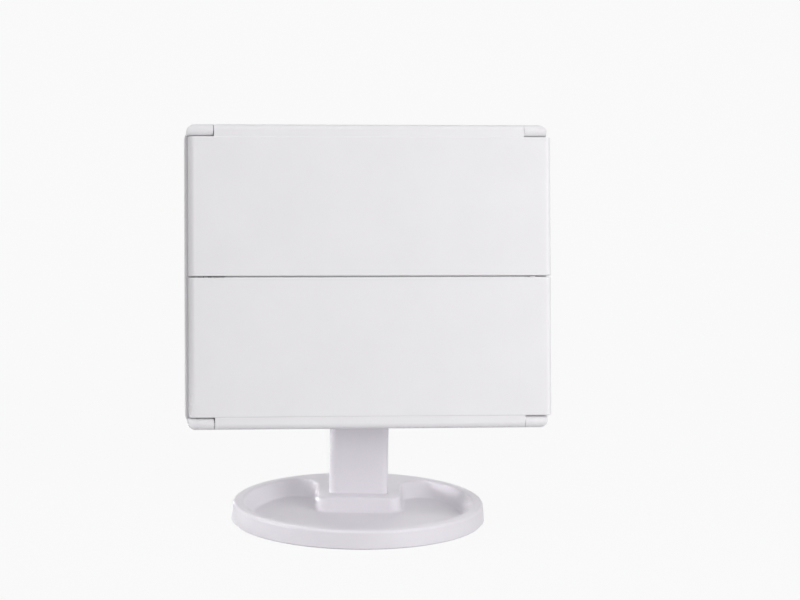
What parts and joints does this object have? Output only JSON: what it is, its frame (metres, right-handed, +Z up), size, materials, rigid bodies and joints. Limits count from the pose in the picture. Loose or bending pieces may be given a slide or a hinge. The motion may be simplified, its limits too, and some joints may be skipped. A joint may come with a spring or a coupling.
{
  "type": "makeup mirror",
  "caption": "Folding lighted makeup mirror on a flat stem and round tray base; its head tilts and turns, and two mirror-lined doors close over the glass.",
  "frame": {"origin": "middle of the underside, on the table", "axes": "+Z up, -Y the way the mirror faces before it is turned, +X to the right of someone facing it"},
  "size_m": [0.2265, 0.156, 0.2461],
  "materials": {
    "white_shell": "satin",
    "white_trim": "matte",
    "grey_neck": "satin",
    "pale_bearing": "matte",
    "steel": "bright zinc",
    "rubber": "matte",
    "mirror": "polished",
    "frosted": "frosted",
    "board_green": "solder mask",
    "board_white": "solder mask",
    "lamp": "clear",
    "lead_red": "matte",
    "switch_black": "matte",
    "cell_can": "printed sleeve"
  },
  "bodies": {
    "stand": {"base_tray": "white_shell", "plinth_cover": "white_shell", "foot_screws": "steel", "foot_ring": "rubber", "stem_column": "white_shell", "stem_foot_plug": "white_trim", "stem_cap": "white_shell", "yaw_bushing": "pale_bearing"},
    "yoke": {"swivel_yoke": "grey_neck", "yaw_pin": "steel", "pin_clip": "steel", "tilt_pin": "steel", "tilt_nut": "steel", "friction_washers": "pale_bearing"},
    "turntable": {"tilt_bracket": "grey_neck", "wave_washer": "steel", "retainer_ring": "grey_neck", "retainer_screws": "steel"},
    "head": {"rear_cover": "white_shell", "cover_screws": "steel", "front_frame": "white_shell", "hinge_pins": "steel", "center_mirror": "mirror", "upper_diffuser": "frosted", "lower_diffuser": "frosted", "upper_led_board": "board_white", "lower_led_board": "board_white", "leds": "lamp", "light_wires": "lead_red", "control_board": "board_green", "board_screws": "steel", "tact_switch": "switch_black", "usb_socket": "steel", "battery_cells": "cell_can", "battery_contacts": "steel"},
    "upper_door": {"upper_door_shell": "white_shell", "upper_door_backing": "white_trim", "magnifier_mirror_low": "mirror", "magnifier_mirror_high": "mirror"},
    "lower_door": {"lower_door_shell": "white_shell", "lower_door_backing": "white_trim", "side_mirror": "mirror"},
    "button": {"power_button": "white_trim"},
    "lid": {"battery_lid": "white_shell"}
  },
  "joints": [
    {"name": "head_yaw", "type": "hinge", "parent": "stand", "child": "yoke", "pos_m": [0, 0.0251, 0.1476], "axis": [0, 0, 1], "range_deg": [-23.7, 8.3]},
    {"name": "head_tilt", "type": "hinge", "parent": "yoke", "child": "turntable", "pos_m": [0, 0.0251, 0.1476], "axis": [-0.991, -0.134, 0], "range_deg": [-11, 19]},
    {"name": "head_turn", "type": "hinge", "parent": "turntable", "child": "head", "pos_m": [0, 0.0251, 0.1476], "axis": [0.1315, -0.9728, 0.1908], "range_deg": [0, 90.45]},
    {"name": "upper_door_swing", "type": "hinge", "parent": "head", "child": "upper_door", "pos_m": [0.00314, 0.00709, 0.24176], "axis": [-0.9912, -0.1325, 0.0077], "range_deg": [0, 180]},
    {"name": "lower_door_swing", "type": "hinge", "parent": "head", "child": "lower_door", "pos_m": [0.0063, -0.02674, 0.06714], "axis": [0.9912, 0.1325, -0.0077], "range_deg": [0, 135]},
    {"name": "button_press", "type": "slide", "parent": "head", "child": "button", "axis": [-0.1315, 0.9728, -0.1908], "range_m": [0, 0.0005], "stiffness_N_per_m": 2000},
    {"name": "lid_off", "type": "slide", "parent": "head", "child": "lid", "axis": [-0.1315, 0.9728, -0.1908], "range_m": [0, 0.012]}
  ]
}
